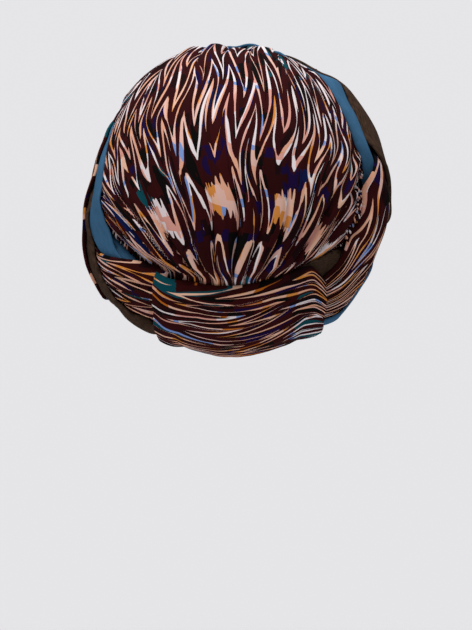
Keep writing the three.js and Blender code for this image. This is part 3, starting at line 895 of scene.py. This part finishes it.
brown_wrap_left = lay_strip(
    "brown_wrap_left_cloth", BROWN_WRAP_LEFT, 90, count=2, depth=0.8, seed=8, buried=2.5
)
brown_wrap_right = lay_strip("brown_wrap_right_cloth", BROWN_WRAP_RIGHT, 120, count=2, depth=0.8, seed=9)
print_wrap_left = lay_strip("print_wrap_left_cloth", PRINT_WRAP_LEFT, 150, count=6, depth=2.6, seed=10)

# %% [markdown]
# The nape panel lies over all those ends and over the cap's tuck. It is one more strip, in five shallow
# pleats, fullest at its lower left and turned under at its right corner.

# %% nape panel
NAPE_PANEL = [
    (28.2, 86, 29.5, 117.5, 125.5),
    (23, 87.2, 24, 119.5, 127.5),
    (12, 87.6, 12, 118, 127),
    (0, 87.2, 0, 116.4, 123.5),
    (-10, 86, -10, 114.4, 123),
    (-20, 84.2, -20, 113, 122.5),
    (-26.3, 83.2, -27, 112.8, 121.5),
    (-29.5, 86, -30, 113.2, 121),
    (-32, 90, -32, 113.5, 120.5),
]
PANEL = {"count": 5, "depth": 1.3, "seed": 12, "start": 422, "full": 1.1, "pull": 0.8, "bend": 30}
nape_panel = lay_strip("nape_panel_cloth", NAPE_PANEL, 110, **PANEL)

# %% [markdown]
# A material is a small machine of nodes. The next function makes the machine's case, and hands back a short
# way to add a node and feed it, so that the print below reads like its sums.

# %% a short way to wire materials
def new_material(name):
    """A material with its Principled shader, and a function that adds a node to it and feeds its inputs."""
    made = bpy.data.materials.new(name)
    made.use_nodes = True
    tree = made.node_tree
    shader = tree.nodes["Principled BSDF"]

    def add(kind, *feeds, **settings):
        node = tree.nodes.new("ShaderNode" + kind)
        for key, setting in settings.items():
            setattr(node, key, setting)
        for socket, feed in zip(node.inputs, feeds):
            if feed is None:
                continue
            if isinstance(feed, bpy.types.NodeSocket):
                tree.links.new(feed, socket)
            else:
                socket.default_value = feed
        return node

    def calc(operation, *feeds):
        return add("Math", *feeds, operation=operation).outputs[0]

    return made, tree, shader, add, calc


def table_ramp(add, value, table):
    """A colour for each stretch of value, from a table of (from, colour)."""
    node = add("ValToRGB", value)
    ramp = node.color_ramp
    ramp.interpolation = "CONSTANT"
    while len(ramp.elements) < len(table):
        ramp.elements.new(0.5)
    for element, (start, colour) in zip(ramp.elements, table):
        element.position = start
        element.color = colour
    return node.outputs[0]


def srgb(text):
    """A colour from its hex name, as the linear values that a shader takes."""
    channels = [int(text[k : k + 2], 16) / 255 for k in (0, 2, 4)]
    return tuple(c / 12.92 if c <= 0.04045 else ((c + 0.055) / 1.055) ** 2.4 for c in channels) + (1,)


# %% [markdown]
# The print looks like ikat, where the threads are dyed before they are woven, so that every edge frays along
# them. It is worked out in millimetres of cloth, and so keeps its scale on every piece. The tables give two
# shapes of its zigzag and its dyes: dark ones for the ground, and pale ones for the stripes.

# %% measures and dyes of the print
FLAMES = {"mirror": 28, "axis": 10, "period": 40, "comb": 7, "thread": 1.1, "block_row": 185, "rows": 200}
ZIGZAG_REACH = 122  # mm that 1 stands for in the tables below
WITH_BLOCKS = [
    # share of the way from a block's middle to the mirror line, height of the flame there
    (0, 0.5),
    (0.36, 0.48),
    (0.45, 0.3),
    (0.64, 0.78),
    (0.82, 0.28),
    (1, 0.7),
]
WITHOUT_BLOCKS = [
    (0, 0.82),
    (0.25, 0.3),
    (0.48, 0.78),
    (0.74, 0.2),
    (1, 0.74),
]
STRIPE_SHARE = (-0.06, 0.58)  # least and greatest share of a flame's repeat that is pale
BAND_AT = 0.68  # where in a flame's repeat its pale stripe lies
BLOCK = {"half_width": 10, "share": 0.42}
# The panel's stretch is darker: its pale stripes are narrowed, which is painted shade, and its ground turns
# more teal.
PANEL_SHADE_AND_TEAL = {"from": 400, "to": 425, "pale": 0.78, "teal": -0.12}  # the panel's stretch is darker
LIGHTS = [
    # from this pick on, dye
    (0.0, srgb("e4d6d8")),
    (0.24, srgb("d99c8e")),
    (0.34, srgb("e6dadb")),
    (0.46, srgb("7a95cc")),
    (0.49, srgb("e2b6a8")),
    (0.58, srgb("dfa488")),
    (0.7, srgb("d68a40")),
    (0.76, srgb("e6b69c")),
    (0.93, srgb("b8641c")),
]
DARKS = [
    (0.0, srgb("0a434d")),
    (0.13, srgb("300b0b")),
    (0.28, srgb("0b0908")),
    (0.37, srgb("340c0e")),
    (0.52, srgb("1b090b")),
    (0.6, srgb("2e0b0e")),
    (0.72, srgb("190a36")),
    (0.78, srgb("2b0a0a")),
    (0.88, srgb("0c1844")),
]


print(len(LIGHTS), "pale dyes and", len(DARKS), "dark ones")

# %% [markdown]
# Jersey is knitted: fine ribs run along the cloth, and rows of stitches break them up. They are under a
# millimetre wide, so bump is enough for them. The cloth is matt, so its gloss is turned down.

# %% the knit of jersey
KNIT = {"rib": 0.9, "row": 0.7}  # mm


def cloth_axes(add, calc):
    """The cloth's own two coordinates in mm, across it and along it."""
    axes = add("SeparateXYZ", add("UVMap", uv_map="Cloth").outputs[0])
    return [calc("MULTIPLY", axis, 1000) for axis in axes.outputs[:2]]


def knit(tree, shader, add, calc, u, v, depth):
    """Matt jersey: fine ribs along the cloth, broken by the rows of stitches."""
    shader.inputs["Roughness"].default_value = 0.92
    shader.inputs["Specular IOR Level"].default_value = 0.05
    ribs = calc("SINE", calc("MULTIPLY", u, 2 * math.pi / KNIT["rib"]))
    rows = calc("SINE", calc("MULTIPLY", v, 2 * math.pi / KNIT["row"]))
    height = calc("MULTIPLY_ADD", calc("MULTIPLY", ribs, rows), 0.5, ribs)
    bump = add("Bump")
    bump.inputs["Strength"].default_value = depth
    bump.inputs["Distance"].default_value = 0.0002
    tree.links.new(height, bump.inputs["Height"])
    tree.links.new(bump.outputs[0], shader.inputs["Normal"])


print("ribs", KNIT["rib"], "mm apart, rows", KNIT["row"], "mm apart")

# %% [markdown]
# A zigzag curve lifts the stripes into tall flames, mirrored round lines 28 mm apart. In some rows the curve
# has flat places, which turn the stripes into blocks with combed edges. Random cells, drawn out along the
# flames, give each stretch of a stripe its dye. An image could hold such a print too, but not at every scale.

# %% printed cloth
def make_print():
    made, tree, shader, add, calc = new_material("print_cloth")
    u, v = cloth_axes(add, calc)

    def soft_noise(x, width, height, depth=0.0):
        """Soft noise from 0 to 1 whose patches are about width by height millimetres."""
        place = add("CombineXYZ", calc("DIVIDE", x, width), calc("DIVIDE", v, height), depth).outputs[0]
        found = add("TexNoise", place)
        found.inputs["Scale"].default_value = 1
        found.inputs["Detail"].default_value = 0
        return add("MapRange", found.outputs[0], 0.25, 0.75).outputs[0]

    def swing(value, size):
        """Turns 0 to 1 into minus half of size to plus half of it."""
        return calc("MULTIPLY_ADD", value, size, -size / 2)

    def curve_of(value, table):
        node = add("FloatCurve", 1.0, value)
        curve = node.mapping.curves[0]
        for place, height in table[1:-1]:
            curve.points.new(place, height)
        curve.points[0].location = table[0]
        curve.points[len(table) - 1].location = table[-1]
        for point in curve.points:
            point.handle_type = "VECTOR"
        node.mapping.update()
        return node.outputs[0]

    # the mirror lines wander, and each thread slides a little along the cloth
    leant = calc("ADD", u, swing(soft_noise(u, 17, 60, 7.0), 3))
    from_axis = calc("SUBTRACT", leant, FLAMES["axis"] - FLAMES["mirror"])
    across = calc("PINGPONG", from_axis, FLAMES["mirror"])
    repeat = calc("MULTIPLY", calc("ROUND", calc("DIVIDE", from_axis, 2 * FLAMES["mirror"])), 0.35)
    thread = calc("FLOOR", calc("DIVIDE", u, FLAMES["thread"]))
    luck = add("TexWhiteNoise", None, thread, noise_dimensions="1D").outputs[0]
    slid = calc("ADD", v, swing(luck, 1.0))
    slid = calc("ADD", slid, swing(soft_noise(across, 30, 60, repeat), 22))

    # rows with blocks have deeply combed edges, and their own zigzag
    share = calc("DIVIDE", across, FLAMES["mirror"])
    row = calc("PINGPONG", calc("SUBTRACT", v, FLAMES["block_row"]), FLAMES["rows"] / 2)
    blocks = add("MapRange", row, 34, 16, 0, 1, interpolation_type="SMOOTHSTEP").outputs[0]
    comb = calc("MULTIPLY_ADD", blocks, FLAMES["comb"], 1.5)
    slid = calc("MULTIPLY_ADD", calc("SUBTRACT", soft_noise(u, 1.9, 26, 31.0), 0.5), comb, slid)
    plain_rise = curve_of(share, WITHOUT_BLOCKS)
    block_rise = curve_of(share, WITH_BLOCKS)
    lifted = calc("MULTIPLY", calc("SUBTRACT", block_rise, plain_rise), blocks)
    height = calc("ADD", plain_rise, lifted)
    tall = calc("MULTIPLY_ADD", soft_noise(across, 40, 60, 3.0), ZIGZAG_REACH * 0.9, ZIGZAG_REACH * 0.5)
    rise = calc("MULTIPLY", calc("SUBTRACT", height, 0.5), tall)

    # each repeat has a pale stripe, whose width changes from flame to flame
    phase = calc("DIVIDE", calc("ADD", calc("SUBTRACT", slid, FLAMES["block_row"]), rise), FLAMES["period"])
    band = calc("FRACT", calc("ADD", phase, BAND_AT))
    in_block = calc("MULTIPLY", blocks, calc("LESS_THAN", across, BLOCK["half_width"]))
    panel = (PANEL_SHADE_AND_TEAL["from"], PANEL_SHADE_AND_TEAL["to"])
    # on the nape panel the pale stripes are narrowed: painted shade that darkens the panel
    painted_panel_shade = add("MapRange", v, *panel, 1, PANEL_SHADE_AND_TEAL["pale"]).outputs[0]
    wide = add("MapRange", soft_noise(u, 4.5, 44, 11.0), 0, 1, *STRIPE_SHARE).outputs[0]
    wide = calc("MULTIPLY", wide, painted_panel_shade)
    width = calc("MULTIPLY_ADD", calc("SUBTRACT", BLOCK["share"], wide), in_block, wide)
    from_band = calc("ABSOLUTE", calc("SUBTRACT", band, BAND_AT))
    light = calc("LESS_THAN", from_band, calc("MULTIPLY", width, 0.5))

    # cells drawn out along the flames pick the dyes
    along = calc("ADD", slid, calc("MULTIPLY", rise, 0.9))
    cells_place = add("CombineXYZ", calc("DIVIDE", leant, 6), calc("DIVIDE", along, 20)).outputs[0]
    cells = add("TexVoronoi", cells_place, voronoi_dimensions="2D")
    cells.inputs["Scale"].default_value = 1
    luck_of_cell = add("SeparateXYZ", cells.outputs["Color"])
    zone = soft_noise(u, 90, 46, 23.0)
    # towards the nape the pale stripes pick darker, more orange colours, so the cap is darker lower down
    lower = add("MapRange", v, 20, 230, -0.15, 0.12).outputs[0]
    light_pick = calc("MULTIPLY_ADD", luck_of_cell.outputs[0], 0.6, calc("MULTIPLY_ADD", zone, 0.4, lower))
    teal = add("MapRange", v, *panel, 0, PANEL_SHADE_AND_TEAL["teal"]).outputs[0]
    dark_pick = calc("MULTIPLY_ADD", luck_of_cell.outputs[1], 0.6, calc("MULTIPLY_ADD", zone, 0.4, teal))
    light_colour = table_ramp(add, light_pick, LIGHTS)
    dark_colour = table_ramp(add, dark_pick, DARKS)
    mixed = add("Mix", data_type="RGBA")
    tree.links.new(light, mixed.inputs[0])
    tree.links.new(dark_colour, mixed.inputs[6])
    tree.links.new(light_colour, mixed.inputs[7])
    tree.links.new(mixed.outputs[2], shader.inputs["Base Color"])
    knit(tree, shader, add, calc, u, v, 0.12)
    return made


print_cloth = make_print()
print("the print has", len(print_cloth.node_tree.nodes), "nodes")

# %% [markdown]
# The blue and the brown are plain jersey. The blue is even, and the brown is heathered: it is spun from pale
# and dark fibres, which show as short streaks along the cloth.

# %% plain jerseys
def make_jersey(name, dark, light, streak, contrast):
    """streak is the width and the length in mm of the patches of colour."""
    made, tree, shader, add, calc = new_material(name)
    u, v = cloth_axes(add, calc)
    place = add("CombineXYZ", calc("DIVIDE", u, streak[0]), calc("DIVIDE", v, streak[1])).outputs[0]
    fibres = add("TexNoise", place)
    fibres.inputs["Scale"].default_value = 1
    fibres.inputs["Detail"].default_value = 3
    shown = add("MapRange", fibres.outputs[0], 0.5 - contrast, 0.5 + contrast).outputs[0]
    mixed = add("Mix", data_type="RGBA")
    tree.links.new(shown, mixed.inputs[0])
    mixed.inputs[6].default_value = srgb(dark)
    mixed.inputs[7].default_value = srgb(light)
    tree.links.new(mixed.outputs[2], shader.inputs["Base Color"])
    knit(tree, shader, add, calc, u, v, 0.25)
    return made


blue_cloth = make_jersey("blue_cloth", "335a78", "41698a", (3, 9), 0.4)
brown_cloth = make_jersey("brown_cloth", "281c15", "4f3c2f", (0.7, 5), 0.22)
print("jerseys:", blue_cloth.name, brown_cloth.name)

# %% [markdown]
# Beside the scarves the cap's cloth is drawn up on a thread and stands in a row of tiny ruffles, each about
# two millimetres wide. A row of many like things along a path is work for Geometry Nodes. The tree puts one
# small soft fold on each point of the path, across the thread, with its own size and lean from a fixed seed.
# Each fold takes a stretch of the print of its own, as gathered cloth does.

# %% the ruffles' tree
RUFFLES = {"Spacing": 0.0018, "Width": 0.0009, "Length": 0.004, "Height": 0.0024, "Seed": 4}
LEAN = {"least": (-0.2, -0.3, -0.3), "most": (0.2, 0.3, 0.3)}
SHARE = {"least": (0.8, 0.6, 0.7), "most": (1.2, 1.3, 1.3)}
SLIDE = (0.25, 0.2, 0)  # metres by which a fold's print may be moved


def ruffle_tree():
    """Small soft folds along a thread, from named sizes and a seed."""
    tree = bpy.data.node_groups.new("ruffles", "GeometryNodeTree")
    face = tree.interface
    face.new_socket("Thread", in_out="INPUT", socket_type="NodeSocketGeometry")
    for name in ("Spacing", "Width", "Length", "Height"):
        face.new_socket(name, in_out="INPUT", socket_type="NodeSocketFloat")
    face.new_socket("Seed", in_out="INPUT", socket_type="NodeSocketInt")
    face.new_socket("Cloth", in_out="INPUT", socket_type="NodeSocketMaterial")
    face.new_socket("Ruffles", in_out="OUTPUT", socket_type="NodeSocketGeometry")

    given = tree.nodes.new("NodeGroupInput").outputs

    def add(kind, *feeds, **named):
        """A node with its settings and inputs by name, with _ for a space, and its first inputs in order."""
        node = tree.nodes.new(kind)
        pairs = []
        for key, feed in named.items():
            if hasattr(node, key):
                setattr(node, key, feed)
            else:
                name = key.replace("_", " ")
                pairs.append((next(each for each in node.inputs if each.name == name and each.enabled), feed))
        for socket, feed in pairs + list(zip(node.inputs, feeds)):
            if isinstance(feed, bpy.types.NodeSocket):
                tree.links.new(feed, socket)
            else:
                socket.default_value = feed
        return node

    def random_vector(least, most, offset):
        seed = add("ShaderNodeMath", given["Seed"], offset, operation="ADD").outputs[0]
        node = add("FunctionNodeRandomValue", data_type="FLOAT_VECTOR", Min=least, Max=most, Seed=seed)
        return node.outputs[0]

    points = add("GeometryNodeResampleCurve", mode="LENGTH", Curve=given["Thread"], Length=given["Spacing"])
    fold = add("GeometryNodeMeshUVSphere", Segments=8, Rings=6, Radius=1.0)
    size = add("ShaderNodeCombineXYZ", X=given["Width"], Y=given["Length"], Z=given["Height"])
    sized = add("GeometryNodeTransform", Geometry=fold.outputs[0], Scale=size.outputs[0])
    outward = add("GeometryNodeInputPosition").outputs[0]
    thread = add("GeometryNodeInputTangent").outputs[0]
    upright = add("FunctionNodeAxesToRotation", outward, thread, primary_axis="Z", secondary_axis="X")
    lean = add("FunctionNodeEulerToRotation", Euler=random_vector(LEAN["least"], LEAN["most"], 1))
    leaning = add(
        "FunctionNodeRotateRotation", upright.outputs[0], lean.outputs[0], rotation_space="LOCAL"
    )
    row = add(
        "GeometryNodeInstanceOnPoints",
        Points=points.outputs[0],
        Instance=sized.outputs[0],
        Rotation=leaning.outputs[0],
        Scale=random_vector(SHARE["least"], SHARE["most"], 2),
    )
    slid = add(
        "GeometryNodeStoreNamedAttribute",
        row.outputs[0],
        data_type="FLOAT_VECTOR",
        domain="INSTANCE",
        Name="slide",
        Value=random_vector((0, 0, 0), SLIDE, 3),
    )
    real = add("GeometryNodeRealizeInstances", Geometry=slid.outputs[0])
    slide = add("GeometryNodeInputNamedAttribute", data_type="FLOAT_VECTOR", Name="slide").outputs[0]
    place = add("GeometryNodeInputPosition").outputs[0]
    mapped = add(
        "GeometryNodeStoreNamedAttribute",
        real.outputs[0],
        data_type="FLOAT2",
        domain="CORNER",
        Name="Cloth",
        Value=add("ShaderNodeVectorMath", slide, place, operation="ADD").outputs[0],
    )
    bare = add("GeometryNodeRemoveAttribute", Geometry=mapped.outputs[0], Name="slide")
    soft = add("GeometryNodeSetShadeSmooth", Geometry=bare.outputs[0])
    dyed = add("GeometryNodeSetMaterial", Geometry=soft.outputs[0], Material=given["Cloth"])
    tree.links.new(dyed.outputs[0], tree.nodes.new("NodeGroupOutput").inputs[0])
    return tree


ruffles_tree = ruffle_tree()
print("the ruffles' tree has", len(ruffles_tree.nodes), "nodes")

# %% [markdown]
# The path of each row is a curve on the cap, through a few stations between its cloth and the scarves. The
# tree's result is turned into a plain mesh, because only meshes are kept, and the curve goes.

# %% ruffles along the seams
SEAMS = {
    # turn and fall of points along the thread
    "ruffles_left": [(65.6, 80.6), (56.3, 83.2), (49, 85.2), (42.8, 87.1), (36.8, 88.9), (30.8, 89.6)],
    "ruffles_right": [
        (269.6, 58.8),
        (277.6, 62.8),
        (285.8, 66.2),
        (291.8, 70.6),
        (297.7, 74.1),
        (305.1, 77.8),
        (311.2, 81.3),
        (316.6, 85.5),
        (321.3, 86.3),
    ],
}


def seam_ruffles(name, stations, tree):
    """Ruffles along the thread through some stations on the cap, as one plain mesh."""
    stations = np.array(stations, dtype=float)
    turn, fall = spline(stations, np.linspace(0, len(stations) - 1, 60)).T
    points = cap_surface(turn, fall)[0] * MM
    curve = bpy.data.curves.new(name + "_thread", "CURVE")
    curve.dimensions = "3D"
    path = curve.splines.new("POLY")
    path.points.add(len(points) - 1)
    for point, place in zip(path.points, points):
        point.co = (*place, 1)
    thread = bpy.data.objects.new(name + "_thread", curve)
    bpy.context.collection.objects.link(thread)
    modifier = thread.modifiers.new("ruffles", "NODES")
    modifier.node_group = tree
    sockets = {item.name: item.identifier for item in tree.interface.items_tree if item.in_out == "INPUT"}
    for key, amount in RUFFLES.items():
        modifier[sockets[key]] = amount
    modifier[sockets["Cloth"]] = print_cloth
    ready = thread.evaluated_get(bpy.context.evaluated_depsgraph_get())
    mesh = bpy.data.meshes.new_from_object(ready)
    mesh.name = name
    mesh.materials.clear()
    mesh.materials.append(print_cloth)
    mesh.polygons.foreach_set("material_index", np.zeros(len(mesh.polygons), dtype=np.int32))
    piece = bpy.data.objects.new(name, mesh)
    bpy.context.collection.objects.link(piece)
    bpy.data.objects.remove(thread)
    print(name, len(mesh.polygons), "faces")
    return piece


ruffles = [seam_ruffles(name, stations, ruffles_tree) for name, stations in SEAMS.items()]

# %% [markdown]
# Each piece takes the cloth of its slot, rides on the part's one body and stands for the solid that its name
# gives, which is hidden.

# %% declarations
CLOTHS = {"printed_cloth": print_cloth, "blue_cloth": blue_cloth, "brown_cloth": brown_cloth}
PIECES = [
    # piece, slot, flat width and length in metres, how it is held, what it lies on
    (crown, "printed_cloth", (0.4, 0.38), "gathered", []),
    (nape_panel, "printed_cloth", (0.075, 0.145), "stretched", [crown]),
    (print_fan_left, "printed_cloth", (0.11, 0.07), "gathered", [crown]),
    (print_wrap_right, "printed_cloth", (0.13, 0.42), "stretched", [crown]),
    (print_wrap_left, "printed_cloth", (0.14, 0.34), "stretched", [brown_wrap_left]),
    (blue_wrap, "blue_cloth", (0.024, 0.44), "stretched", [crown]),
    (blue_fold_left, "blue_cloth", (0.026, 0.095), "folded", [crown]),
    (blue_edge_right, "blue_cloth", (0.016, 0.175), "folded", [print_wrap_right]),
    (brown_wrap_left, "brown_cloth", (0.03, 0.13), "stretched", [print_fan_left]),
    (brown_wrap_right, "brown_cloth", (0.065, 0.27), "stretched", [print_wrap_right]),
    (brown_underlay_right, "brown_cloth", (0.03, 0.05), "folded", [crown]),
]
for piece, slot, flat, held, under in PIECES:
    piece.data.materials.clear()
    piece.data.materials.append(CLOTHS[slot])
    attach(piece, "root")
    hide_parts(piece.name.removesuffix("_cloth"))
    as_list(under)
for piece in ruffles:
    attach(piece, "root")
print(len(PIECES), "cloths and", len(ruffles), "rows of ruffles declared")
